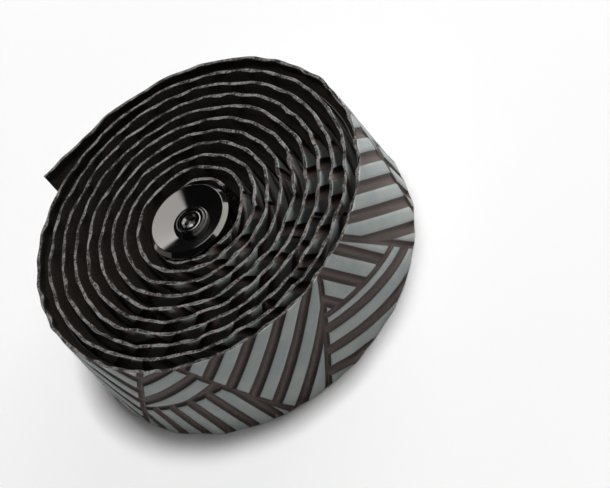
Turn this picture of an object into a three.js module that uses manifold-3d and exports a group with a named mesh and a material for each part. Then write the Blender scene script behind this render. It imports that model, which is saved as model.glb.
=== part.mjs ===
import * as THREE from 'three';
import { mergeVertices } from 'three/addons/utils/BufferGeometryUtils.js';
import Module from 'manifold-3d';

// A roll of handlebar tape with an expanding bar-end plug pushed into its core.
// Millimetres, +Z up. The roll stands on one edge of the tape, centred on the origin.

const wasm = await Module();
wasm.setup();

// Tape: a foam strip with a thin land along both edges, where its back is skived
const tapeWidth = 30;
const tapeThickness = 3.0;
const fullWidth = 20;
const edgeThickness = 1.0;
const landThickness = 1.15;
const landWidth = 2.4;

// Roll: an open spiral wound counterclockwise, with a straight tail that has sprung away
const turnGap = 0.54;
const windingCount = 10.244;
const innerEndAngle = 5;
const tailLength = 18.5;
const facetSag = 0.22;
const tailSteps = 3;

// The first turn lies against the sleeve on one side of the plug and round the flange on the other
const leanAngle = 15;
const seatClearance = 0.4;
const tuckRamp = 20;

// Plug cap: a dished flange with a bevelled rim and a stepped boss round the screw
const flangeRadius = 11.0;
const flangeThickness = 1.9;
const flangeChamfer = 0.3;
const capProud = 0.9;
const bevelWidth = 1.15;
const bevelHeight = 1.05;
const dishDepth = 1.9;
const dishSag = 0.25;
const bossRadius = 4.6;
const bossStepWidth = 0.65;
const bossStepHeight = 0.4;
const shoulderLength = 3.6;
const spigotRadius = 4.6;
const spigotLength = 3.4;

// Plug sleeve: a collar and four sprung fingers with gripping ribs
const sleeveRadius = 7.75;
const sleeveWall = 1.75;
const sleeveLength = 13.4;
const collarLength = 3.0;
const ribDepth = 0.5;
const ribPitch = 2.2;
const ribRamp = 0.77;
const ribLength = 1.32;
const ribCount = 4;
const slotWidth = 1.6;
const slotLength = 9.0;

// Wedge nut: a cone that the screw draws into the sleeve, keyed in two of its slots
const taperLength = 4.0;
const taperGrowth = 1.0;
const wedgeInside = 3.7;
const wedgeOutside = 4.0;
const keyHeight = 0.75;

// Screw: socket head
const screwRadius = 2.0;
const screwHeadRadius = 3.1;
const screwHeadHeight = 2.6;
const screwHeadChamfer = 0.4;
const screwLength = 20;
const socketAcross = 3.0;
const socketDepth = 1.9;
const headBelowBoss = 0.1;

// Clearance between pieces that touch on the real thing
const clearance = 0.3;

// Levels and radii that follow from the sizes above
const pitch = tapeThickness + turnGap;
const capTop = tapeWidth + capProud;
const flangeUnder = capTop - flangeThickness;
const shoulderEnd = flangeUnder - shoulderLength;
const spigotEnd = shoulderEnd - spigotLength;
const bossTop = capTop - dishDepth + 2 * bossStepHeight;
const screwHeadTop = bossTop - headBelowBoss;
const screwHeadUnder = screwHeadTop - screwHeadHeight;
const counterboreFloor = screwHeadUnder - clearance;
const counterboreRadius = screwHeadRadius + clearance;
const screwHoleRadius = screwRadius + clearance;
const sleeveTop = shoulderEnd - clearance;
const sleeveEnd = sleeveTop - sleeveLength;
const sleeveBore = sleeveRadius - sleeveWall;

const roundSides = 40;
const holeSides = 24;
const dishSteps = 5;
const tuckSamples = 720;
const lastStretch = 1e-4;
const degree = Math.PI / 180;

function bareGeometry(geometry) {
  const bare = geometry.clone();
  bare.deleteAttribute('normal');
  bare.deleteAttribute('uv');
  return mergeVertices(bare, 1e-4);
}

function solidOf(geometry) {
  const bare = bareGeometry(geometry);
  const corners = bare.index.array;
  const triangles = [];
  for (let i = 0; i < corners.length; i += 3) {
    const [a, b, c] = [corners[i], corners[i + 1], corners[i + 2]];
    if (a !== b && b !== c && c !== a) triangles.push(a, b, c);
  }
  const vertProperties = Float32Array.from(bare.attributes.position.array);
  const triVerts = Uint32Array.from(triangles);
  return new wasm.Manifold(new wasm.Mesh({ numProp: 3, vertProperties, triVerts }));
}

function geometryOf(solid) {
  const mesh = solid.getMesh();
  const geometry = new THREE.BufferGeometry();
  geometry.setAttribute('position', new THREE.BufferAttribute(mesh.vertProperties, 3));
  geometry.setIndex(new THREE.BufferAttribute(mesh.triVerts, 1));
  geometry.computeVertexNormals();
  return geometry;
}

// A body turned about Z from a profile of [radius, height] points
function turned(profile, sides) {
  const points = profile.map(([radius, height]) => new THREE.Vector2(radius, height));
  return new THREE.LatheGeometry(points, sides).rotateX(Math.PI / 2);
}

function box(width, depth, low, high) {
  return new THREE.BoxGeometry(width, depth, high - low).translate(0, 0, (low + high) / 2);
}

// Radius of the tape's outer face after a number of turns. The roll leans on the plug along
// leanAngle, just far enough for the first turn to reach the sleeve on the opposite side.
const startRadius = flangeRadius + clearance + landThickness;
const sleeveSideTurns = (leanAngle + 180 - innerEndAngle) / 360;
const sleeveSideRadius = sleeveRadius + seatClearance + tapeThickness;
const startLean = Math.cos((innerEndAngle - leanAngle) * degree);
const leanOffset = (startRadius + pitch * sleeveSideTurns - sleeveSideRadius) / (1 + startLean);

function turnAngle(turns) {
  return innerEndAngle + 360 * turns;
}

function outerRadius(turns) {
  const lean = Math.cos((turnAngle(turns) - leanAngle) * degree) - startLean;
  return startRadius + pitch * turns + leanOffset * lean;
}

// The line of the tape's outer face, seen from above. Its steps are short where the turns are tight.
class RollLine extends THREE.Curve {
  constructor() {
    super();
    const endRadius = startRadius + pitch * windingCount;
    this.startPower = startRadius ** 1.5;
    this.endPower = endRadius ** 1.5;
    const angleSteps = (4 * Math.PI * (this.endPower - this.startPower)) / (3 * pitch);
    this.windingSteps = Math.round(angleSteps / Math.sqrt(8 * facetSag));
    this.steps = this.windingSteps + tailSteps;
  }

  spiralPoint(turns, target) {
    const radius = outerRadius(turns);
    const angle = turnAngle(turns) * degree;
    return target.set(radius * Math.cos(angle), radius * Math.sin(angle), 0);
  }

  getPoint(t, target = new THREE.Vector3()) {
    const step = t * this.steps;
    if (step <= this.windingSteps) {
      const power = this.startPower + ((this.endPower - this.startPower) * step) / this.windingSteps;
      return this.spiralPoint((power ** (2 / 3) - startRadius) / pitch, target);
    }
    const along = (tailLength * (step - this.windingSteps)) / tailSteps;
    const before = this.spiralPoint(windingCount - lastStretch, new THREE.Vector3());
    const direction = this.spiralPoint(windingCount, target).clone().sub(before).normalize();
    return target.addScaledVector(direction, along);
  }

  getUtoTmapping(u) {
    return u;
  }
}

// The tape's section: x runs down from the tape's lower edge line, y inwards from the outer face
function tapeSection() {
  const back = [
    [0, edgeThickness],
    [landWidth, landThickness],
    [(tapeWidth - fullWidth) / 2, tapeThickness],
  ];
  const mirrored = back.map(([height, depth]) => [tapeWidth - height, depth]).reverse();
  const outline = [[0, 0], ...back, ...mirrored, [tapeWidth, 0]];
  return new THREE.Shape(outline.map(([height, depth]) => new THREE.Vector2(-height, depth)));
}

// Where the first turn runs inside the flange's edge, the flange holds its upper edge down
function tuckedTurns() {
  let first = 1;
  let last = 0;
  for (let i = 1; i < tuckSamples; i += 1) {
    const turns = i / tuckSamples;
    if (outerRadius(turns) < startRadius) {
      first = Math.min(first, turns);
      last = Math.max(last, turns);
    }
  }
  return [first, last];
}

const tuckDepth = tapeWidth - (flangeUnder - clearance);
const [tuckFirst, tuckLast] = tuckedTurns();

function tuckAt(turns) {
  const ramp = tuckRamp / 360;
  const down = THREE.MathUtils.smoothstep(turns, tuckFirst - ramp, tuckFirst);
  const up = THREE.MathUtils.smoothstep(turns, tuckLast, tuckLast + ramp);
  return tuckDepth * down * (1 - up);
}

function pressFirstTurn(geometry) {
  const position = geometry.attributes.position;
  for (let i = 0; i < position.count; i += 1) {
    const [x, y, z] = [position.getX(i), position.getY(i), position.getZ(i)];
    const turns = THREE.MathUtils.euclideanModulo(Math.atan2(y, x) / degree - innerEndAngle, 360) / 360;
    if (Math.hypot(x, y) < outerRadius(turns) + turnGap / 2) {
      position.setZ(i, z * (1 - tuckAt(turns) / tapeWidth));
    }
  }
}

function tape() {
  const line = new RollLine();
  const options = { steps: line.steps, bevelEnabled: false, extrudePath: line };
  const roll = new THREE.ExtrudeGeometry(tapeSection(), options);
  pressFirstTurn(roll);
  return geometryOf(solidOf(roll));
}

// The dish falls from the rim to the foot of the boss in a shallow hollow curve
function dish(fromRadius, fromHeight, toRadius, toHeight, count) {
  const points = [];
  for (let i = 1; i <= count; i += 1) {
    const share = i / count;
    const radius = fromRadius + (toRadius - fromRadius) * share;
    const chord = fromHeight + (toHeight - fromHeight) * share;
    points.push([radius, chord - 4 * dishSag * share * (1 - share)]);
  }
  return points;
}

function plugCap() {
  const crestRadius = flangeRadius - bevelWidth;
  const dishFloor = capTop - dishDepth;
  const stepRadius = bossRadius - bossStepWidth;
  const profile = [
    [screwHoleRadius, spigotEnd],
    [spigotRadius, spigotEnd],
    [spigotRadius, shoulderEnd],
    [sleeveRadius, shoulderEnd],
    [sleeveRadius, flangeUnder],
    [flangeRadius - flangeChamfer, flangeUnder],
    [flangeRadius, flangeUnder + flangeChamfer],
    [flangeRadius, capTop - bevelHeight],
    [crestRadius, capTop],
    ...dish(crestRadius, capTop, bossRadius, dishFloor, dishSteps),
    [bossRadius, dishFloor + bossStepHeight],
    [stepRadius, dishFloor + bossStepHeight],
    [stepRadius, bossTop],
    [counterboreRadius, bossTop],
    [counterboreRadius, counterboreFloor],
    [screwHoleRadius, counterboreFloor],
    [screwHoleRadius, spigotEnd],
  ];
  return turned(profile, roundSides);
}

// One gripping rib: a ramp towards the cap and a square back
function ribs() {
  const points = [];
  for (let i = 0; i < ribCount; i += 1) {
    const low = sleeveEnd + (i + 0.5) * ribPitch;
    points.push([sleeveRadius - ribDepth, low]);
    points.push([sleeveRadius, low + ribRamp]);
    points.push([sleeveRadius, low + ribLength]);
    points.push([sleeveRadius - ribDepth, low + ribLength]);
  }
  return points;
}

function plugSleeve() {
  const collarBore = spigotRadius + clearance;
  const profile = [
    [sleeveBore + taperGrowth, sleeveEnd],
    [sleeveRadius - ribDepth, sleeveEnd],
    ...ribs(),
    [sleeveRadius - ribDepth, sleeveTop - collarLength],
    [sleeveRadius, sleeveTop - collarLength],
    [sleeveRadius, sleeveTop],
    [collarBore, sleeveTop],
    [collarBore, sleeveTop - collarLength],
    [sleeveBore, sleeveTop - collarLength],
    [sleeveBore, sleeveEnd + taperLength],
    [sleeveBore + taperGrowth, sleeveEnd],
  ];
  const slot = box(4 * sleeveRadius, slotWidth, sleeveEnd - slotLength, sleeveEnd + slotLength);
  const across = slot.clone().rotateZ(Math.PI / 2);
  const body = solidOf(turned(profile, roundSides));
  return geometryOf(body.subtract(solidOf(slot)).subtract(solidOf(across)));
}

function plugWedgeNut() {
  const slope = taperGrowth / taperLength;
  const top = sleeveEnd + wedgeInside;
  const bottom = sleeveEnd - wedgeOutside;
  const radiusAt = (height) => sleeveBore + taperGrowth - clearance - slope * (height - sleeveEnd);
  const profile = [
    [screwHoleRadius, bottom],
    [radiusAt(bottom), bottom],
    [radiusAt(top), top],
    [screwHoleRadius, top],
    [screwHoleRadius, bottom],
  ];
  const keyReach = radiusAt(sleeveEnd) + keyHeight;
  const key = box(2 * keyReach, slotWidth - 2 * clearance, bottom, top);
  const hole = new THREE.CylinderGeometry(screwHoleRadius, screwHoleRadius, 2 * sleeveLength, holeSides);
  const shape = solidOf(turned(profile, roundSides)).add(solidOf(key));
  return geometryOf(shape.subtract(solidOf(hole.rotateX(Math.PI / 2).translate(0, 0, bottom))));
}

function plugScrew() {
  const profile = [
    [0, screwHeadUnder - screwLength],
    [screwRadius - screwHeadChamfer, screwHeadUnder - screwLength],
    [screwRadius, screwHeadUnder - screwLength + screwHeadChamfer],
    [screwRadius, screwHeadUnder],
    [screwHeadRadius, screwHeadUnder],
    [screwHeadRadius, screwHeadTop - screwHeadChamfer],
    [screwHeadRadius - screwHeadChamfer, screwHeadTop],
    [0, screwHeadTop],
  ];
  const corner = socketAcross / 2 / Math.cos(30 * degree);
  const socket = new THREE.CylinderGeometry(corner, corner, 2 * socketDepth, 6);
  const cutter = solidOf(socket.rotateX(Math.PI / 2).translate(0, 0, screwHeadTop));
  return geometryOf(solidOf(turned(profile, holeSides)).subtract(cutter));
}

function finish(color, roughness, metalness) {
  return new THREE.MeshStandardMaterial({ color, roughness, metalness });
}

function piece(name, geometry, material) {
  const mesh = new THREE.Mesh(geometry, material);
  mesh.name = name;
  return mesh;
}

const tapeGeometry = tape();
tapeGeometry.computeBoundingBox();
const centre = tapeGeometry.boundingBox.getCenter(new THREE.Vector3());

const group = new THREE.Group();
group.add(piece('tape', tapeGeometry, finish(0x2f2a29, 0.85, 0)));
group.add(piece('plug_cap', plugCap(), finish(0x0a0a0b, 0.15, 0)));
group.add(piece('plug_sleeve', plugSleeve(), finish(0x17171a, 0.6, 0)));
group.add(piece('plug_wedge_nut', plugWedgeNut(), finish(0x1c1c1f, 0.55, 0)));
group.add(piece('plug_screw', plugScrew(), finish(0x2a2a2c, 0.35, 1)));
group.position.set(-centre.x, -centre.y, 0);

export default group;
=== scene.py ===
# %% [markdown]
# # A roll of handlebar tape
#
# The roll stands on one edge of the tape, with its axis upright and a bar-end plug in its core.
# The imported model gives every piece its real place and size. This script adds the looks: the
# embossed and printed tape, the polished plug cap, the screw, the light and the camera.
# Lengths are worked out in millimetres and turned into Blender's metres when a mesh is made.

# %% Load the fixed frame
import math

import bpy
import numpy as np
from mathutils import Matrix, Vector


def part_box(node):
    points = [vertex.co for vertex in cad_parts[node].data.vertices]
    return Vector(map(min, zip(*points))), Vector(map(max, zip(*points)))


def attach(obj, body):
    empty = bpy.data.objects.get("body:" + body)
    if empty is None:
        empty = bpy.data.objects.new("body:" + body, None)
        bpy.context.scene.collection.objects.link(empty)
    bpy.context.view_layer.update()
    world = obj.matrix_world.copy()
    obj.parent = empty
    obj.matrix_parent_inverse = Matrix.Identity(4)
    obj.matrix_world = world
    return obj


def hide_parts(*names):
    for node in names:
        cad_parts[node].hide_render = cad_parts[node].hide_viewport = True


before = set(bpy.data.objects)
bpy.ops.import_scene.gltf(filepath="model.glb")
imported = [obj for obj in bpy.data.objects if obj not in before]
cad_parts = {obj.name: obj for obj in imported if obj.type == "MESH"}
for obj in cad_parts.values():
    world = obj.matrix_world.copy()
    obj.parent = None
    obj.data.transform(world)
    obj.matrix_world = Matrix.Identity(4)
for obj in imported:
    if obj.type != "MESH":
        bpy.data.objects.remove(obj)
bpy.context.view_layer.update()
MM = 0.001


def box_mm(node):
    """The node's lowest and highest corners in millimetres."""
    return tuple(np.array(corner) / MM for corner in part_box(node))


tape_width = box_mm("tape")[1][2]
cap_low, cap_high = box_mm("plug_cap")
sleeve_low, sleeve_high = box_mm("plug_sleeve")
screw_low, screw_high = box_mm("plug_screw")
plug_axis = (screw_low + screw_high)[:2] / 2
flange_radius = (cap_high - cap_low)[0] / 2
sleeve_radius = (sleeve_high - sleeve_low)[0] / 2
cap_top = cap_high[2]
print("tape width", round(tape_width, 2), "flange radius", round(flange_radius, 2))

# %% [markdown]
# ## The wound line
#
# Tape wound on itself makes an Archimedean spiral: each turn adds one thickness and a little air
# to the radius. This roll leans on its plug, so a cosine is added to the radius. The free end has
# sprung off the roll and leaves it along a straight tangent. Working out the line first, as points
# with an inward direction and a running length, lets every later shape be laid along it.

# %% The spiral's values
pitch = 3.54
tape_thickness = 3.0
edge_thickness = 1.0
land_thickness = 1.15
land_width = 2.4
backing_width = 20.0
backing_thickness = 0.25
winding_count = 10.244
inner_end_angle = 5.0
lean_angle = 15.0
clearance = 0.3
seat_clearance = 0.4
tail_length = 18.5

start_radius = flange_radius + clearance + land_thickness
start_lean = math.cos(math.radians(inner_end_angle - lean_angle))
sleeve_side_turns = (lean_angle + 180 - inner_end_angle) / 360
sleeve_side_radius = sleeve_radius + seat_clearance + tape_thickness
lean_offset = (start_radius + pitch * sleeve_side_turns - sleeve_side_radius) / (1 + start_lean)


def outer_radius(turns):
    """Start radius, plus a pitch a turn, plus the lean times the cosine of the angle from it."""
    angle = np.radians(inner_end_angle + 360 * turns - lean_angle)
    return start_radius + pitch * turns + lean_offset * (np.cos(angle) - start_lean)


def wound_line(samples=60000, tail_samples=1200):
    """Points of the tape's outer face from above, the direction into the roll, turns and length.

    Polar to Cartesian along the spiral, then a straight stretch along the last tangent.
    """
    turns = np.linspace(0, winding_count, samples)
    angle = np.radians(inner_end_angle + 360 * turns)
    spiral = (outer_radius(turns) * np.array([np.cos(angle), np.sin(angle)])).T
    last = spiral[-1] - spiral[-2]
    last /= np.linalg.norm(last)
    along = np.linspace(0, tail_length, tail_samples)[1:, None]
    points = np.concatenate([spiral, spiral[-1] + along * last])
    tangent = np.gradient(points, axis=0)
    tangent /= np.linalg.norm(tangent, axis=1, keepdims=True)
    inward = np.column_stack([-tangent[:, 1], tangent[:, 0]])
    length = np.concatenate([[0], np.cumsum(np.linalg.norm(np.diff(points, axis=0), axis=1))])
    turns = np.concatenate([turns, np.full(len(points) - samples, winding_count)])
    return points + plug_axis, inward, turns, length


line_points, line_inward, line_turns, line_length = wound_line()
tape_length = line_length[-1]
print("tape length", round(tape_length), "mm")

# %% [markdown]
# ## The print
#
# The outside of the tape is smooth grey film with the dark foam showing in shallow channels.
# The bands lie in slanted panels, each with its own direction. One formula gives the distance from
# any point to the nearest band edge, and both the mesh and the material use it: the mesh presses
# the channels in, and the material colours them, so the two always agree. To serve both, the
# formula is written with a small set of functions that exist for arrays and for shader nodes.

# %% The print's values and its formula
panel_length = 27.0
panel_slope = 0.55
seam_half = 0.9
band_period = 6.5
band_share = 0.54
lower_directions = (40, 14, -44, 70)
upper_directions = (40, -62, -44, 24)
split_slopes = (0, 0.3, 0, -0.34)
first_kind = 3
far_away = 100.0


def pick(which, values, m):
    """The value whose place in the list is the number which, as a sum of one-or-nothing terms."""
    total = 0
    for place, value in enumerate(values):
        if value:
            total = m.same(which, place) * value + total
    return total


def band_depth(s, z, m):
    """Millimetres from the nearest band edge: above 0 inside a grey band, below 0 on the foam.

    s runs along the tape and z across it. Seams between panels slant alternately, odd panels are
    split in two, and a band is a stretch of the sawtooth of s cos a + z sin a.
    """
    across = z - tape_width / 2
    nearest = m.floor(s / panel_length + 0.5)
    parity = nearest - 2 * m.floor(nearest / 2)
    past = s - nearest * panel_length - (1 - 2 * parity) * panel_slope * across
    panel = nearest - 1 + m.above(past, 0)
    order = panel + first_kind
    kind = order - 4 * m.floor(order / 4)
    middle = (panel + 0.5) * panel_length
    over_split = across - pick(kind, split_slopes, m) * (s - middle)
    upper = m.above(over_split, 0)
    low_angle = pick(kind, [math.radians(a) for a in lower_directions], m)
    high_angle = pick(kind, [math.radians(a) for a in upper_directions], m)
    angle = low_angle + upper * (high_angle - low_angle)
    phase = (s * m.cosine(angle) + across * m.sine(angle)) / band_period
    from_centre = m.absolute(phase - m.floor(phase) - 0.5)
    in_band = (band_share / 2 - from_centre) * band_period
    odd = kind - 2 * m.floor(kind / 2)
    from_seam = m.absolute(past) / math.hypot(1, panel_slope) - seam_half
    from_split = m.absolute(over_split) + (1 - odd) * far_away - seam_half
    return m.minimum(in_band, m.minimum(from_seam, from_split))


class ArrayMaths:
    """The print's functions for numpy arrays."""

    floor = staticmethod(np.floor)
    absolute = staticmethod(np.abs)
    minimum = staticmethod(np.minimum)
    cosine = staticmethod(np.cos)
    sine = staticmethod(np.sin)

    @staticmethod
    def above(value, level):
        return np.where(value > level, 1.0, 0.0)

    @staticmethod
    def same(value, number):
        return np.where(np.abs(value - number) < 0.5, 1.0, 0.0)


# %% [markdown]
# ## The tape's section
#
# Cut across, the strip is straight outside and thinned towards both edges on its back, so that
# it lies flat when each turn round the bar overlaps the last. A thin backing film runs down the
# middle of the back. A curve bevel could give such a section too, but it couldn't say which part is
# print, cut edge, back or film. So the section is a ring of points, each with a depth from the
# outer face and a height, and every point also knows its finish.

# %% The ring of the section
corner = 0.14
face_step = 0.5


def stretch(start, end, count):
    """Points from start towards end: start plus equal shares of the way, without the end itself."""
    share = np.arange(count)[:, None] / count
    return np.array(start) + share * (np.array(end) - np.array(start))


foam_depth = tape_thickness - backing_thickness
mid = tape_width / 2
under_rim = tape_width - corner
land_end = tape_width - land_width
film_end = mid + backing_width / 2
face_count = round((tape_width - 2 * corner) / face_step)
PRINT, CUT, BACK, FILM = range(4)

top_half = [
    (PRINT, stretch((0, mid), (0, under_rim), face_count // 2)),
    (PRINT, stretch((0, under_rim), (corner, tape_width), 2)),
    (CUT, stretch((corner, tape_width), (edge_thickness - corner, tape_width), 3)),
    (BACK, stretch((edge_thickness - corner, tape_width), (edge_thickness, under_rim), 2)),
    (BACK, stretch((edge_thickness, under_rim), (land_thickness, land_end), 4)),
    (BACK, stretch((land_thickness, land_end), (foam_depth, film_end), 6)),
    (FILM, stretch((foam_depth, film_end), (tape_thickness, film_end), 1)),
    (FILM, stretch((tape_thickness, film_end), (tape_thickness, mid), 5)),
]
upper_ring = np.concatenate([points for _, points in top_half])
upper_kind = np.concatenate([[kind] * len(points) for kind, points in top_half])
back_middle = [(tape_thickness, mid)]
lower_ring = np.concatenate([upper_ring[1:], back_middle])[::-1] * (1, -1) + (0, tape_width)
ring = np.concatenate([upper_ring, lower_ring])
ring_kind = np.concatenate([upper_kind, upper_kind[::-1]])
ring_depth, ring_height = ring.T
print("points round the section", len(ring))

# %% [markdown]
# ## Waves along the tape
#
# Soft tape never winds into a perfect spiral. Its edges drift in and out by a few tenths of a
# millimetre, they rise and fall, and the cut is thicker in one place than in the next. Sums of a
# few sine waves with fixed random lengths and phases look natural and come out the same each run.
# The middle of the tape is left alone, because there the turns press on each other. The plug's
# flange holds the first turn's upper edge down, so there the whole strip is a little lower.

# %% Seeded ripples and the tuck under the flange
upper_wave, upper_rise, upper_swell = 0.16, 0.12, 0.16
lower_wave, lower_rise, lower_swell = 0.15, 0.10, 0.12
# Each ripple: its seed, and its shortest and longest wave in millimetres.
sway_ripple, rise_ripple, swell_ripple = (21, 6, 24), (31, 9, 60), (41, 3.5, 11)
rise_limit = 0.1
edge_zone = 6.5
tuck_ramp = 20 / 360
tuck_samples = 721
flange_thickness = 1.9


def smooth_step(low, high, value):
    """0 below low, 1 above high, and 3 t squared minus 2 t cubed on the share t between them."""
    share = np.clip((value - low) / (high - low), 0, 1)
    return share * share * (3 - 2 * share)


def ripple(s, seed, shortest, longest, count=9):
    """A sum of sines of random lengths and phases along s, scaled to a spread of about 1."""
    chance = np.random.default_rng(seed)
    lengths = chance.uniform(shortest, longest, count)
    phases = chance.uniform(0, 2 * math.pi, count)
    waves = np.sin(2 * math.pi * s[:, None] / lengths + phases)
    return waves.sum(axis=1) / math.sqrt(count / 2)


tuck_depth = tape_width - (cap_top - flange_thickness - clearance)
first_turn = np.linspace(0, 1, tuck_samples)[1:-1]
under_flange = first_turn[outer_radius(first_turn) < start_radius]
tuck_first, tuck_last = under_flange[0], under_flange[-1]


def tuck_at(turns):
    """The full tuck times a smooth step down before the flange and one up after it."""
    down = smooth_step(tuck_first - tuck_ramp, tuck_first, turns)
    up = smooth_step(tuck_last, tuck_last + tuck_ramp, turns)
    return tuck_depth * down * (1 - up)


print("edge held down by up to", round(tuck_depth, 2), "mm")

# %% [markdown]
# ## The tape's surface
#
# The roll could be a spiral curve with a bevel, but then its edges couldn't ripple and the print
# couldn't be pressed in. So the section's ring is carried along the line as one grid: one
# parameter runs along the tape and the other round the section. Only the outermost turn shows its
# print at full size, so it gets a fine grid with the channels pressed in, and the inner turns share
# a coarser one.

# %% The surface as a function of length and ring point
channel_wall = 0.5
channel_side = 0.9
channel_hollow = 0.4
hollow_side = 1.7
rim_fade = 0.7


def pressed(s, height):
    """Depth of the print: a smooth step down at each band edge, and a hollow floor between."""
    from_band = -band_depth(s, height, ArrayMaths)
    wall = channel_wall * smooth_step(-channel_side / 2, channel_side / 2, from_band)
    hollow = channel_hollow * smooth_step(0, hollow_side, from_band)
    rim = np.minimum(height, tape_width - height)
    return (wall + hollow) * smooth_step(0, rim_fade, rim)


def tape_surface(s, columns, embossed):
    """Points in metres for lengths s and ring points: the line, plus depth inwards, plus height.

    Both edges sway in the radius, rise and swell, by ripples that fade towards the middle.
    """
    depth, height = ring_depth[columns], ring_height[columns]
    point = np.column_stack([np.interp(s, line_length, line_points[:, k]) for k in range(2)])
    inward = np.column_stack([np.interp(s, line_length, line_inward[:, k]) for k in range(2)])
    turns = np.interp(s, line_length, line_turns)
    near_edge = np.clip((np.abs(height - mid) - mid + edge_zone) / edge_zone, 0, 1) ** 2
    upper = height > mid

    def at_edges(above, below, seed, shortest, longest):
        """A ripple for the upper half and another for the lower, times the nearness of the edge."""
        over = above * ripple(s, seed, shortest, longest)
        under = below * ripple(s, seed + 1, shortest, longest)
        return np.where(upper, over[:, None], under[:, None]) * near_edge

    sway = at_edges(upper_wave, lower_wave, *sway_ripple)
    rise = at_edges(upper_rise, lower_rise, *rise_ripple)
    swell = at_edges(upper_swell, lower_swell, *swell_ripple)
    inside = depth * (1 + swell) + sway
    if embossed:
        inside = inside + np.where(depth == 0, pressed(s[:, None], height[None, :]), 0)
    level = height + np.where(upper, np.minimum(rise, rise_limit), np.abs(rise))
    level = level * (1 - tuck_at(turns) / tape_width)[:, None]
    across = point[:, None, :] + inside[..., None] * inward[:, None, :]
    return np.dstack([across, level]) * MM


# %% The grids and the faces between them
fine_step = 0.55
coarse_step = 1.75
coarse_pick = 5
fine_from_turns = 9.2

join = np.interp(fine_from_turns, line_turns, line_length)
fine_s = np.linspace(join, tape_length, round((tape_length - join) / fine_step))
coarse_s = np.linspace(0, join - coarse_step / 2, round(join / coarse_step))
fine_columns = np.arange(len(ring))
kind_changes = ring_kind != np.roll(ring_kind, 1)
picked = fine_columns % coarse_pick == 0
coarse_columns = np.flatnonzero((ring_kind == CUT) | kind_changes | picked)


def grid_faces(rows, columns, first=0):
    """Quads of a grid whose columns close into a ring, wound to face away from the tape."""
    row, column = np.meshgrid(np.arange(rows - 1), np.arange(columns), indexing="ij")
    beside = (column + 1) % columns
    corners = [(row, column), (row + 1, column), (row + 1, beside), (row, beside)]
    return first + np.stack([r * columns + c for r, c in corners], axis=-1).reshape(-1, 4)


def stitch(coarse, coarse_first, fine_first, fine_count):
    """Triangles between the last coarse ring and the first fine one.

    Each fine edge is joined to the coarse point that is nearest round the ring, and each coarse
    edge to the fine point half way along it.
    """
    following = np.roll(coarse, -1)
    following[-1] += fine_count
    switch = (coarse + following + 1) // 2
    fine = np.arange(coarse[0], coarse[0] + fine_count)
    owner = np.searchsorted(switch, fine, side="right") % len(coarse)
    count = len(coarse)
    on_fine = np.column_stack(
        [coarse_first + owner, fine_first + fine % fine_count, fine_first + (fine + 1) % fine_count]
    )
    here = np.arange(count)
    on_coarse = np.column_stack(
        [coarse_first + here, fine_first + switch % fine_count, coarse_first + (here + 1) % count]
    )
    return on_fine, on_coarse, fine % fine_count


def new_piece(name, points, faces, sharp_degrees=40):
    """A mesh object at the origin, smooth apart from edges that bend more than the angle."""
    mesh = bpy.data.meshes.new(name)
    mesh.from_pydata(points, [], faces)
    faulty = mesh.validate()
    mesh.shade_smooth()
    mesh.set_sharp_from_angle(angle=math.radians(sharp_degrees))
    piece = bpy.data.objects.new(name, mesh)
    bpy.context.scene.collection.objects.link(piece)
    triangles = sum(len(p.vertices) - 2 for p in mesh.polygons)
    print(name, triangles, "triangles", "faulty" if faulty else "sound")
    return piece


# %% Make the tape's mesh
coarse_grid = tape_surface(coarse_s, coarse_columns, embossed=False)
fine_grid = tape_surface(fine_s, fine_columns, embossed=True)
coarse_count, fine_count = len(coarse_columns), len(fine_columns)
fine_first = coarse_grid.shape[0] * coarse_count
last_coarse = fine_first - coarse_count
last_fine = fine_first + (len(fine_s) - 1) * fine_count

coarse_faces = grid_faces(len(coarse_s), coarse_count)
fine_faces = grid_faces(len(fine_s), fine_count, fine_first)
on_fine, on_coarse, fine_order = stitch(coarse_columns, last_coarse, fine_first, fine_count)
inner_end = list(range(coarse_count))
outer_end = list(range(last_fine, last_fine + fine_count))[::-1]

tape_points = np.concatenate([coarse_grid.reshape(-1, 3), fine_grid.reshape(-1, 3)])
tape_faces = [*coarse_faces.tolist(), *fine_faces.tolist(), *on_fine.tolist(), *on_coarse.tolist()]
tape_kinds = np.concatenate(
    [
        np.tile(ring_kind[coarse_columns], len(coarse_s) - 1),
        np.tile(ring_kind, len(fine_s) - 1),
        ring_kind[fine_order],
        ring_kind[coarse_columns],
        [CUT, CUT],
    ]
)
wound_tape = new_piece("wound_tape", tape_points, [*tape_faces, inner_end, outer_end])
wound_tape.data.polygons.foreach_set("material_index", tape_kinds.astype(np.int32))

# %% [markdown]
# The material has to find its way along the tape, and object coordinates can't tell it how much
# tape is wound below a point. A UV map can: it holds the length along the tape and the height
# across it for every corner of every face.

# %% Lay the print's map, and say what the tape stands for
def lay_print(piece, along, heights):
    """A UV map of length along the tape and height across it, both in millimetres."""
    mesh = piece.data
    corner_of = np.empty(len(mesh.loops), np.int32)
    mesh.loops.foreach_get("vertex_index", corner_of)
    layer = mesh.uv_layers.new(name="along_across")
    layer.uv.foreach_set("vector", np.column_stack([along, heights])[corner_of].ravel())


point_along = np.concatenate([np.repeat(coarse_s, coarse_count), np.repeat(fine_s, fine_count)])
coarse_heights = np.tile(ring_height[coarse_columns], len(coarse_s))
fine_heights = np.tile(ring_height, len(fine_s))
lay_print(wound_tape, point_along, np.concatenate([coarse_heights, fine_heights]))
print("map covers", round(point_along.max()), "mm of tape")
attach(wound_tape, "root")
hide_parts("tape")

# %% [markdown]
# ## The plug
#
# The cap is a turned shape, so it is a profile carried round its axis. Real mouldings have no
# knife edges, and a polished one shows that most of all, because each rounded corner catches its
# own thin highlight. A Bevel modifier would round all corners alike. Here every corner of the
# profile has its own small curve, and it is put in before the profile is turned.

# %% Turning a profile, and rounding its corners
hold = 0.25


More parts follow.
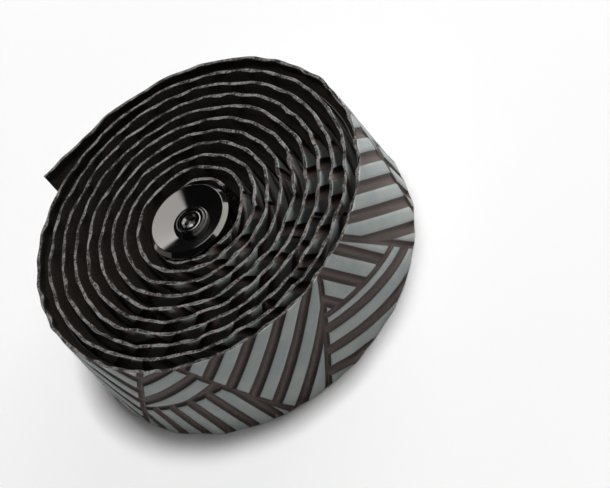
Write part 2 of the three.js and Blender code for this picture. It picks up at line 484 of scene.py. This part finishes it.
def rounded(profile, radii, steps=6):
    """Each corner becomes a quadratic curve from one side to the other, pulled by the corner.

    A point just past each end of the curve holds the flat face beside it flat.
    """
    profile = np.asarray(profile, float)
    before, after = np.roll(profile, 1, axis=0), np.roll(profile, -1, axis=0)
    points = []
    for corner, back, ahead, radius in zip(profile, before, after, radii):
        if not radius:
            points.append(corner[None])
            continue
        to_back = (back - corner) / np.linalg.norm(back - corner)
        to_ahead = (ahead - corner) / np.linalg.norm(ahead - corner)
        t = np.linspace(0, 1, steps)[:, None]
        curve = (1 - t) ** 2 * (corner + radius * to_back) + 2 * t * (1 - t) * corner
        curve += t**2 * (corner + radius * to_ahead)
        held = [corner + (1 + hold) * radius * side for side in (to_back, to_ahead)]
        points.append(np.concatenate([held[:1], curve, held[1:]]))
    return np.concatenate(points)


def turned(profile, segments, centre):
    """A closed profile of radius and height carried round: radius times cosine, radius times sine.

    Gives the points in metres and the quads between them.
    """
    angle = np.linspace(0, 2 * math.pi, segments, endpoint=False)[:, None]
    radius, height = np.asarray(profile).T
    x = centre[0] + radius * np.cos(angle)
    y = centre[1] + radius * np.sin(angle)
    points = np.dstack([x, y, np.broadcast_to(height, x.shape)]).reshape(-1, 3) * MM
    quads = grid_faces(segments + 1, len(profile)) % len(points)
    return points, quads.tolist()


# %% The cap's sizes
dish_depth = 1.9
boss_radius = 4.6
boss_step_width = 0.65
boss_step_height = 0.4
shoulder_length = 3.6
spigot_radius = 4.6
spigot_length = 3.4
counterbore_radius = 3.4
counterbore_depth = 3.0
screw_hole_radius = 2.3
cap_segments = 192

bevel_height = 1.05
bevel_width = 1.15
crest_round = 0.15
flange_chamfer = 0.3

# %% Make the cap
flange_under = cap_top - flange_thickness
shoulder_end = flange_under - shoulder_length
spigot_end = shoulder_end - spigot_length
dish_floor = cap_top - dish_depth
boss_top = dish_floor + 2 * boss_step_height

crest = (flange_radius - bevel_width, cap_top)
cap_corners = [
    ((screw_hole_radius, spigot_end), 0.15),
    ((spigot_radius, spigot_end), 0.2),
    ((spigot_radius, shoulder_end), 0.1),
    ((sleeve_radius, shoulder_end), 0.2),
    ((sleeve_radius, flange_under), 0.3),
    ((flange_radius - flange_chamfer, flange_under), 0.1),
    ((flange_radius, flange_under + flange_chamfer), 0.1),
    ((flange_radius, cap_top - bevel_height), 0.15),
    (crest, crest_round),
    ((boss_radius, dish_floor), 0.12),
    ((boss_radius, dish_floor + boss_step_height), 0.12),
    ((boss_radius - boss_step_width, dish_floor + boss_step_height), 0.08),
    ((boss_radius - boss_step_width, boss_top), 0.12),
    ((counterbore_radius, boss_top), 0.12),
    ((counterbore_radius, boss_top - counterbore_depth), 0.15),
    ((screw_hole_radius, boss_top - counterbore_depth), 0.1),
]
cap_profile = rounded(*zip(*cap_corners))
cap_points, cap_quads = turned(cap_profile, cap_segments, plug_axis)
cap_moulding = new_piece("cap_moulding", cap_points, cap_quads, sharp_degrees=60)
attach(cap_moulding, "root")
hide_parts("plug_cap")

# %% [markdown]
# ## The screw
#
# The socket head sits in the boss's counterbore. Its socket is a hexagon inside a round head, so
# a plain turning won't do. Here each row of the grid has its own outline: a circle's radius, or a
# hexagon's, which is its half width divided by the cosine of the angle from the nearest flat.
# Rows of the shank's foot are pushed in by a triangle wave that climbs as it goes round: the thread.

# %% The screw's sizes and the outlines of its rows
screw_segments = 96
screw_radius = 2.0
head_radius = 3.1
head_height = 2.6
socket_across = 3.0
socket_depth = 1.9
socket_tip = 0.375
countersink_radius = 2.1
rim_radius = 0.32
rim_steps = 9
thread_pitch = 0.7
thread_depth = 0.35
thread_top = 15.0
thread_rows = 110
edge_break = 0.1
rim_margin = 0.05
axis_hole = 0.01

screw_bottom, screw_top = screw_low[2], screw_high[2]
head_under = screw_top - head_height
screw_angle = np.linspace(0, 2 * math.pi, screw_segments, endpoint=False)


def round_row(radius, height):
    """A circle of points: the radius is the same all round."""
    return np.full(screw_segments, float(radius)), np.full(screw_segments, float(height))


def hexagon(across):
    """Half the width across flats, over the cosine of the angle from the nearest flat."""
    from_flat = (screw_angle + math.pi / 6) % (math.pi / 3) - math.pi / 6
    return across / 2 / np.cos(from_flat)


def hexagon_row(across, height):
    """A hexagon of points at one height."""
    return hexagon(across), np.full(screw_segments, float(height))


def thread_row(height):
    """A circle pushed in by a triangle wave of height over pitch less the share of the turn."""
    climb = height / thread_pitch - screw_angle / (2 * math.pi)
    groove = np.abs(2 * (climb - np.floor(climb)) - 1)
    return screw_radius - thread_depth * groove, np.full(screw_segments, float(height))


# %% Make the screw
rim_centre = (head_radius - rim_radius, screw_top - rim_radius)
rim_rows = [
    round_row(rim_centre[0] + rim_radius * math.cos(a), rim_centre[1] + rim_radius * math.sin(a))
    for a in np.linspace(0, math.pi / 2, rim_steps)
]
screw_rows = [
    round_row(axis_hole, screw_bottom),
    round_row(screw_radius - 2 * thread_depth, screw_bottom),
    *(thread_row(h) for h in np.linspace(screw_bottom + thread_depth, thread_top, thread_rows)),
    round_row(screw_radius, thread_top + thread_pitch),
    round_row(screw_radius, head_under - edge_break),
    round_row(screw_radius + edge_break, head_under),
    round_row(head_radius - edge_break, head_under),
    round_row(head_radius, head_under + edge_break),
    *rim_rows,
    round_row(rim_centre[0] - rim_margin, screw_top),
    round_row(countersink_radius, screw_top),
    (hexagon(socket_across), screw_top - countersink_radius + hexagon(socket_across)),
    hexagon_row(socket_across, screw_top - socket_depth),
    round_row(axis_hole, screw_top - socket_depth - socket_tip),
]
screw_radii, screw_heights = (np.array(rows) for rows in zip(*screw_rows))
screw_x = plug_axis[0] + screw_radii * np.cos(screw_angle)
screw_y = plug_axis[1] + screw_radii * np.sin(screw_angle)
screw_points = np.dstack([screw_x, screw_y, screw_heights]).reshape(-1, 3) * MM
screw_quads = grid_faces(len(screw_rows), screw_segments)[:, ::-1].tolist()
foot = list(range(screw_segments))[::-1]
socket_floor = list(range(len(screw_points) - screw_segments, len(screw_points)))
screw_faces = [*screw_quads, foot, socket_floor]
socket_screw = new_piece("socket_screw", screw_points, screw_faces, sharp_degrees=35)
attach(socket_screw, "root")
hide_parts("plug_screw")

# %% [markdown]
# A closed mesh whose faces point outwards has a volume above 0, and one that is inside out has a
# volume below 0, so one number tells whether a grid was wound the right way.

# %% Measure the volumes
def signed_volume(piece):
    """The sum over triangles a, b, c of a . (b x c) / 6, in cubic millimetres."""
    mesh = piece.data
    mesh.calc_loop_triangles()
    corners = np.empty(3 * len(mesh.loop_triangles), np.int32)
    mesh.loop_triangles.foreach_get("vertices", corners)
    points = np.empty(3 * len(mesh.vertices))
    mesh.vertices.foreach_get("co", points)
    a, b, c = points.reshape(-1, 3)[corners.reshape(-1, 3)].transpose(1, 0, 2)
    return (a * np.cross(b, c)).sum() / 6 / MM**3


for made in (wound_tape, cap_moulding, socket_screw):
    print(made.name, "holds", round(signed_volume(made), 1), "cubic mm")

# %% [markdown]
# ## Shader maths
#
# Materials are node trees, and arithmetic in them takes many Math nodes. Wrapping a socket in a
# small class lets a formula be written as Python: each operator adds the node that it stands for.

# %% Sockets that can be added and multiplied
class Wire:
    """A socket of a material's nodes. Arithmetic on it adds Math nodes."""

    def __init__(self, shader, socket):
        self.shader, self.socket = shader, socket

    def maths(self, operation, *others):
        return self.shader.node("ShaderNodeMath", {"operation": operation}, [self, *others])

    def __add__(self, other):
        return self.maths("ADD", other)

    __radd__ = __add__

    def __mul__(self, other):
        return self.maths("MULTIPLY", other)

    __rmul__ = __mul__

    def __sub__(self, other):
        return self.maths("SUBTRACT", other)

    def __rsub__(self, other):
        return self.shader.node("ShaderNodeMath", {"operation": "SUBTRACT"}, [other, self])

    def __truediv__(self, other):
        return self.maths("DIVIDE", other)


class NodeMaths:
    """The print's functions for shader nodes."""

    floor = staticmethod(lambda wire: wire.maths("FLOOR"))
    absolute = staticmethod(lambda wire: wire.maths("ABSOLUTE"))
    cosine = staticmethod(lambda wire: wire.maths("COSINE"))
    sine = staticmethod(lambda wire: wire.maths("SINE"))
    minimum = staticmethod(lambda wire, other: wire.maths("MINIMUM", other))
    above = staticmethod(lambda wire, level: wire.maths("GREATER_THAN", level))
    same = staticmethod(lambda wire, number: wire.maths("COMPARE", number, 0.5))


class Shader:
    """A new material with a Principled BSDF. Constant settings go straight on its sockets."""

    def __init__(self, name, **settings):
        self.material = bpy.data.materials.new(name)
        self.material.use_nodes = True
        self.tree = self.material.node_tree
        self.surface = self.tree.nodes["Principled BSDF"]
        for socket, value in settings.items():
            self.surface.inputs[socket.replace("_", " ")].default_value = value

    def node(self, kind, settings=None, inputs=(), output=0):
        """Adds a node: its settings first, then values or wires by socket name or number."""
        made = self.tree.nodes.new(kind)
        for name, value in (settings or {}).items():
            setattr(made, name, value)
        pairs = inputs.items() if isinstance(inputs, dict) else enumerate(inputs)
        for name, value in pairs:
            if isinstance(value, Wire):
                self.tree.links.new(value.socket, made.inputs[name])
            else:
                made.inputs[name].default_value = value
        return Wire(self, made.outputs[output])

    def feed(self, socket, wire):
        """Links a wire to a socket of the surface."""
        self.tree.links.new(wire.socket, self.surface.inputs[socket])

    def coordinates(self):
        """Object coordinates, in metres."""
        return self.node("ShaderNodeTexCoord", output="Object")

    def noise(self, per_mm, detail=4, roughness=0.55):
        """Noise of so many features a millimetre, about 0.5 in the middle."""
        inputs = {"Vector": self.coordinates(), "Scale": per_mm / MM}
        inputs.update({"Detail": detail, "Roughness": roughness})
        return self.node("ShaderNodeTexNoise", {}, inputs, "Fac")

    def ramp(self, wire, low, high, low_value=0.0, high_value=1.0, kind="SMOOTHSTEP"):
        """Map Range of a value from low to high, smooth unless another kind is asked for."""
        settings = {"interpolation_type": kind}
        values = [wire, low, high, low_value, high_value]
        return self.node("ShaderNodeMapRange", settings, values)

    def mix(self, share, first, second):
        """A colour that goes from first to second. A Mix node's colours are at 6, 7 and output 2."""
        return self.node("ShaderNodeMix", {"data_type": "RGBA"}, {0: share, 6: first, 7: second}, 2)

    def split(self, vector):
        """The first two parts of a vector."""
        first = self.node("ShaderNodeSeparateXYZ", {}, [vector], "X")
        return first, Wire(self, first.socket.node.outputs["Y"])

    def vector_maths(self, operation, first, second=None, output="Vector"):
        """A Vector Math node, for sums that a Math node can't do."""
        inputs = [first] if second is None else [first, second]
        return self.node("ShaderNodeVectorMath", {"operation": operation}, inputs, output)

    def bump(self, height, strength, distance_mm, normal=None):
        """A Bump node, chained on another one if given."""
        inputs = {"Strength": strength, "Distance": distance_mm * MM, "Height": height}
        if normal:
            inputs["Normal"] = normal
        return self.node("ShaderNodeBump", {}, inputs, "Normal")


def colour(red, green, blue):
    """An sRGB colour from 0 to 255 as the linear values that a shader takes."""
    parts = np.array([red, green, blue]) / 255
    linear = np.where(parts <= 0.04045, parts / 12.92, ((parts + 0.055) / 1.055) ** 2.4)
    return (*linear, 1.0)


# %% [markdown]
# ## The tape's finishes
#
# The outside is two finishes in one material: satin grey film on the bands and dull brown foam in
# the channels. The same band formula as the mesh's mixes them. It also feeds a bump, whose height
# is the square of the way from a channel's middle to its edge. Its slope grows evenly towards the
# edge, so light from one side shades each channel from dark to pale.

# %% The printed outside
channel_half = 1.5
channel_depth = 1.1
film_blur = 0.07
foam_roughness = 0.54
film_grey = colour(148, 158, 157)
film_grey_pale = colour(164, 171, 168)
foam_brown = colour(88, 73, 68)
foam_brown_dark = colour(66, 54, 50)

outside = Shader("printed_foam", Specular_IOR_Level=0.7)
along, across = outside.split(outside.node("ShaderNodeUVMap", {"uv_map": "along_across"}))
depth = band_depth(along, across, NodeMaths)
in_film = outside.ramp(depth, -film_blur, film_blur)
blotch = outside.noise(0.12, detail=3)
film_colour = outside.mix(outside.ramp(blotch, 0.35, 0.65), film_grey, film_grey_pale)
pores = outside.noise(2.6, detail=5, roughness=0.7)
foam_colour = outside.mix(outside.ramp(pores, 0.4, 0.6), foam_brown_dark, foam_brown)
outside.feed("Base Color", outside.mix(in_film, foam_colour, film_colour))
film_sheen = outside.ramp(blotch, 0.3, 0.7, 0.34, 0.46)
outside.feed("Roughness", foam_roughness - in_film * (foam_roughness - film_sheen))
grain = outside.bump(pores, 0.35, 0.12)
from_floor = outside.ramp(depth, -channel_half, 0.05, kind="LINEAR")
wall = outside.bump(from_floor * from_floor, 1.0, channel_depth, grain)
drag = outside.noise(0.9, detail=2)
outside.feed("Normal", outside.bump(drag * in_film, 0.12, 0.25, wall))
print("nodes in the printed foam", len(outside.tree.nodes))

# %% [markdown]
# The foam's cut edges are the pale lines that draw the spiral, so their speckle of open cells
# matters more than any other detail. Fine noise alone averages to one grey from a step away. A
# slower noise is added to it before the ramp, so that some stretches are pale and others dark.

# %% The cut edge, the back and the backing film
cut_dark, cut_pale = colour(10, 10, 10), colour(134, 131, 129)
cut_edge = Shader("cut_foam", Specular_IOR_Level=0.3)
cells = cut_edge.noise(1.6, detail=6, roughness=0.8)
patches = cut_edge.noise(0.35, detail=2)
speckle = cut_edge.ramp(cells + patches * 0.5, 0.66, 0.87)
cut_edge.feed("Base Color", cut_edge.mix(speckle, cut_dark, cut_pale))
cut_edge.feed("Roughness", cut_edge.ramp(cells, 0.3, 0.7, 0.9, 0.6))
cut_edge.feed("Normal", cut_edge.bump(cells, 0.9, 0.35))

back_foam = Shader("back_of_the_foam", Specular_IOR_Level=0.12)
back_grain = back_foam.noise(1.8, detail=5, roughness=0.65)
back_shade = back_foam.ramp(back_grain, 0.3, 0.7)
back_foam.feed("Base Color", back_foam.mix(back_shade, colour(21, 18, 16), colour(36, 31, 28)))
back_foam.feed("Roughness", back_foam.ramp(back_grain, 0.3, 0.7, 0.85, 0.7))
back_foam.feed("Normal", back_foam.bump(back_grain, 0.4, 0.15))

backing = Shader("backing_film", Roughness=0.35)
backing_streaks = backing.noise(0.6, detail=3)
backing.feed(
    "Base Color",
    backing.mix(backing.ramp(backing_streaks, 0.3, 0.7), colour(28, 27, 27), colour(44, 43, 42)),
)
backing.feed("Normal", backing.bump(backing_streaks, 0.1, 0.2))

for shader in (outside, cut_edge, back_foam, backing):
    wound_tape.data.materials.append(shader.material)
print("finishes on the tape", [m.name for m in wound_tape.data.materials])

# %% [markdown]
# ## The plug's finishes
#
# The cap is polished black plastic: nearly all that is seen of it is what it mirrors, so its
# colour hardly matters and its smoothness does. The hidden mouldings have a dull spark-eroded
# grain, and the screw is steel with a black oxide skin that rubs bright on the edges.

# %% Materials of the cap, the mouldings and the screw
polish = Shader("polished_black_plastic", Coat_Weight=1.0, Coat_Roughness=0.02, IOR=1.6)
polish_haze = polish.noise(0.4, detail=3)
polish.feed("Base Color", polish.mix(polish_haze, colour(3, 3, 3), colour(5, 5, 5)))
polish.feed("Roughness", polish.ramp(polish_haze, 0.35, 0.7, 0.08, 0.14))
cap_moulding.data.materials.append(polish.material)

moulded = Shader("grained_black_plastic")
erosion = moulded.noise(4.0, detail=4)
moulded.feed("Base Color", moulded.mix(erosion, colour(22, 22, 23), colour(34, 34, 35)))
moulded.feed("Roughness", moulded.ramp(erosion, 0.3, 0.7, 0.5, 0.65))
moulded.feed("Normal", moulded.bump(erosion, 0.3, 0.05))
for node in ("plug_sleeve", "plug_wedge_nut"):
    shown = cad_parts[node]
    shown.data.materials.clear()
    shown.data.materials.append(moulded.material)

oxide = Shader("black_oxide_steel", Metallic=1.0)
oxide_wear = oxide.noise(1.5, detail=4)
screw_middle = (*plug_axis * MM, screw_top * MM)
to_axis = oxide.vector_maths("SUBTRACT", oxide.coordinates(), screw_middle)
flat_part = oxide.vector_maths("MULTIPLY", to_axis, (1, 1, 0))
radius = oxide.vector_maths("LENGTH", flat_part, output="Value") / MM
on_rim = oxide.ramp(radius, rim_centre[0] - rim_margin, rim_centre[0])
in_socket = oxide.ramp(radius, countersink_radius - rim_margin, countersink_radius, 1.0, 0.0)
worn = (on_rim + in_socket) * oxide.ramp(oxide_wear, 0.25, 0.5, 0.6, 1.0)
oxide.feed("Base Color", oxide.mix(worn, colour(24, 24, 26), colour(120, 120, 122)))
oxide.feed("Roughness", oxide.ramp(oxide_wear, 0.3, 0.7, 0.16, 0.26))
socket_screw.data.materials.append(oxide.material)
print("finishes on the plug", [s.material.name for s in (polish, moulded, oxide)])

# %% [markdown]
# ## The floor
#
# The floor is a wide white disc whose rim curves up out of sight, like the paper sweep in a
# studio, so every view has a pale ground. A plane would end in a hard horizon.

# %% The sweep's mesh
sweep_radius = 3.5
sweep_flat = 1.5
sweep_rise = 0.27
sweep_hole = 0.02
rings, spokes = 48, 96

sweep_r = np.linspace(sweep_hole, sweep_radius, rings)
rise_share = np.clip((sweep_r - sweep_flat) / (sweep_radius - sweep_flat), 0, 1)
sweep_z = sweep_rise * (1 - np.cos(rise_share * math.pi / 2))
spoke = np.linspace(0, 2 * math.pi, spokes, endpoint=False)
sweep_x, sweep_y = np.outer(sweep_r, np.cos(spoke)), np.outer(sweep_r, np.sin(spoke))
sweep_points = np.dstack([sweep_x, sweep_y, np.broadcast_to(sweep_z[:, None], sweep_x.shape)])
sweep_faces = [*grid_faces(rings, spokes).tolist(), list(range(spokes))]
sweep = new_piece("paper_sweep", sweep_points.reshape(-1, 3), sweep_faces, sharp_degrees=60)

# %% [markdown]
# White paper under plain light comes out pale grey, and more light would burn out the roll. The
# Light Path node tells what kind of ray arrives. Where the camera or a reflection looks at the
# paper away from the roll, most of what it sees is plain white, and near the roll the paper takes
# the light as any surface does, so that the soft shadow stays. The light that bounces from the
# paper to the roll is that of a slightly darker sheet, which keeps the shaded side deep.

# %% The paper
near_share, far_share = 0.05, 0.97
shadow_from, shadow_to = 0.06, 0.27
paper_seen = (0.92, 0.92, 0.92, 1)
paper_bounce = (0.55, 0.55, 0.55, 1)

paper = Shader("white_paper", Roughness=0.9)
camera_ray = paper.node("ShaderNodeLightPath", output="Is Camera Ray")
ray_kinds = camera_ray.socket.node.outputs
seen = camera_ray
for other_kind in ("Is Glossy Ray", "Is Transmission Ray"):
    seen = seen.maths("MAXIMUM", Wire(paper, ray_kinds[other_kind]))
glow = paper.node("ShaderNodeEmission", {}, {"Color": (1, 1, 1, 1), "Strength": 1.0})
from_middle = paper.vector_maths("LENGTH", paper.coordinates(), output="Value")
white_share = paper.ramp(from_middle, shadow_from, shadow_to, near_share, far_share)
paper.feed("Base Color", paper.mix(camera_ray, paper_bounce, paper_seen))
lit_paper = Wire(paper, paper.surface.outputs[0])
blend = paper.node("ShaderNodeMixShader", {}, [seen * white_share, lit_paper, glow])
paper.tree.links.new(blend.socket, paper.tree.nodes["Material Output"].inputs["Surface"])
sweep.data.materials.append(paper.material)
print("paper is", far_share, "plain white from", shadow_to, "m out")

# %% [markdown]
# ## The lights
#
# The tape is matt and the plug is polished, so they need different lights. Matt foam shows where
# light falls, and the polished cap shows the lights' own shapes. Each softbox therefore works for
# one kind of ray. The key stands low at the right, so it grazes the embossing and leaves the gaps
# between the turns dark. The top light falls along the tape's walls and brightens only the cut
# edges and the floor. A low fill from the front lifts the shaded side.

# %% Softboxes for the tape and the floor
def matrix_of(right, up, back, place):
    """A 4 by 4 matrix with these columns, which are the axes and the place of an object."""
    return Matrix([[right[k], up[k], back[k], place[k]] for k in range(3)] + [[0, 0, 0, 1]])


def softbox(name, direction, distance, along_axis, size, radiance, only, shade=(1, 1, 1)):
    """A rectangle light that faces the roll from a direction, its long side along an axis.

    Its power is the radiance times pi times its area, and only names the rays that it is for.
    """
    back = np.array(direction) / np.linalg.norm(direction)
    right = np.array(along_axis) - back * np.dot(back, along_axis)
    right /= np.linalg.norm(right)
    lamp = bpy.data.lights.new(name, "AREA")
    lamp.shape, lamp.size, lamp.size_y = "RECTANGLE", *size
    lamp.energy, lamp.color = radiance * math.pi * size[0] * size[1], shade
    box = bpy.data.objects.new(name, lamp)
    box.matrix_world = matrix_of(right, np.cross(back, right), back, back * distance)
    box.visible_glossy = only != "diffuse"
    box.visible_diffuse = only != "glossy"
    bpy.context.scene.collection.objects.link(box)
    return box


level, tangent = (1, 0, 0), (0.59, -0.81, 0)
softbox("key", (0.81, 0.58, 0.10), 1.2, tangent, (1.3, 0.18), 25.0, "diffuse")
softbox("top", (0.11, 0.08, 1.0), 1.5, level, (0.4, 0.4), 40.0, "diffuse")
softbox("low_front_fill", (-0.25, -0.95, 0.10), 1.6, level, (1.4, 0.25), 4.0, "diffuse")

# %% [markdown]
# Two strips and a window are there for the plug. The dish is a shallow cone, which spreads the
# window over nearly half of it, and the bevel round it mirrors the strips as thin bands. A real
# window's light fades towards its edges, so the window's nodes dim it past four straight sides.

# %% Softboxes that the plug mirrors
warm = (1, 0.95, 0.91)
right_run, left_run = (0.59, 0.95, -0.42), (0.27, 0.68, -0.48)
softbox("bevel_strip", (0.75, -0.19, 0.63), 1.2, right_run, (1.7, 0.22), 3.2, "glossy", warm)
softbox("left_strip", (-0.81, 0.47, 0.23), 1.4, left_run, (1.2, 0.35), 0.4, "glossy", warm)

window_size = (2.8, 1.4)
window_run = (0.41, 0.77, -0.50)
window_at = (0.40, 0.36, 0.88)
window = softbox("dish_window", window_at, 1.0, window_run, window_size, 3.3, "glossy", warm)


class LampNodes(Shader):
    """The nodes of a light, so that its brightness can change over its face."""

    def __init__(self, lamp):
        lamp.use_nodes = True
        self.tree = lamp.node_tree
        self.surface = self.tree.nodes["Emission"]


# Each side: its direction on the window, how far out it lies, and half the width of its fade.
window_sides = [
    (0, 1, 0.47, 0.09),
    (0.42, 0.91, 0.50, 0.09),
    (0, -1, 0.50, 0.05),
    (0.7, -0.7, 0.78, 0.05),
]
pane = LampNodes(window.data)
shares = pane.split(pane.node("ShaderNodeNewGeometry", output="Parametric"))
pane_u, pane_v = ((share - 0.5) * side for share, side in zip(shares, window_size))
clear = 1.0
for along_u, along_v, limit, soft in window_sides:
    outwards = pane_u * along_u + pane_v * along_v
    clear = pane.ramp(outwards, limit - soft, limit + soft, 1.0, 0.0) * clear
pane.feed("Strength", clear)

# %% The world, which only lifts the deepest shadows a little
world_strength = 0.015
world = bpy.data.worlds.new("studio")
world.use_nodes = True
sky = world.node_tree.nodes["Background"].inputs
sky["Color"].default_value = (1, 1, 1, 1)
sky["Strength"].default_value = world_strength
bpy.context.scene.world = world
lamps = [made.name for made in bpy.context.scene.objects if made.type == "LIGHT"]
print("lights", lamps)

# %% [markdown]
# ## The camera
#
# The camera looks down at 46 degrees through a long lens and is rolled, so that the upright roll
# shows at the photograph's angle. It aims past the top of the roll's middle, to the right and
# down, because the roll isn't in the middle of the picture.

# %% Camera
camera_forward = np.array([0, 0.69682, -0.71725])
camera_right = np.array([0.75468, -0.47058, -0.45717])
camera_up = np.cross(camera_right, camera_forward)
roll_top = np.array([0.6, -1.07, tape_width])
aim_right, aim_down = 26.3, 7.9
camera_distance = 1225.6
sensor_width, focal_length = 36, 295.1

aim = roll_top + aim_right * camera_right - aim_down * camera_up
camera_place = (aim - camera_distance * camera_forward) * MM
camera_data = bpy.data.cameras.new("camera")
camera_data.sensor_width, camera_data.lens = sensor_width, focal_length
camera = bpy.data.objects.new("camera", camera_data)
camera.matrix_world = matrix_of(camera_right, camera_up, -camera_forward, camera_place)
bpy.context.scene.collection.objects.link(camera)
bpy.context.scene.camera = camera
bpy.context.scene.view_settings.view_transform = "Standard"
print("camera at", np.round(camera_place, 3), "m")
